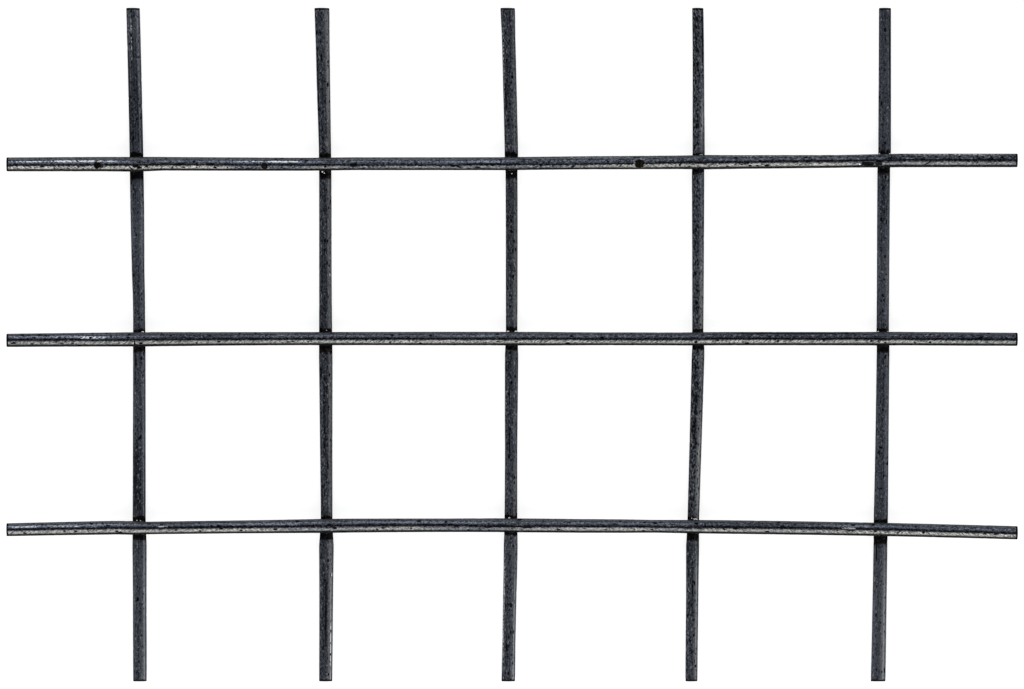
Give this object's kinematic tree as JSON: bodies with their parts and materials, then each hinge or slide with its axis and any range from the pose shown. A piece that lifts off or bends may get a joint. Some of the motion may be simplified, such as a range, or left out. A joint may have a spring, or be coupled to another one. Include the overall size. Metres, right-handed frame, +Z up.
{
  "type": "welded steel mesh panel",
  "caption": "Flat panel of welded steel mesh: round cross wires welded on top of round line wires at an even pitch, dark as drawn, every wire end sheared square.",
  "frame": {"origin": "on the floor, under the middle of the panel", "axes": "+X along the cross wires, +Y along the line wires, +Z up from the floor, out of the side that the cross wires are on"},
  "size_m": [0.271, 0.1808, 0.0063],
  "materials": {
    "drawn_steel": "dark blue-grey drawn steel with mill scale, satin, scorched black at the welds"
  },
  "bodies": {
    "root": {"welded_mesh": "drawn_steel"}
  },
  "joints": []
}
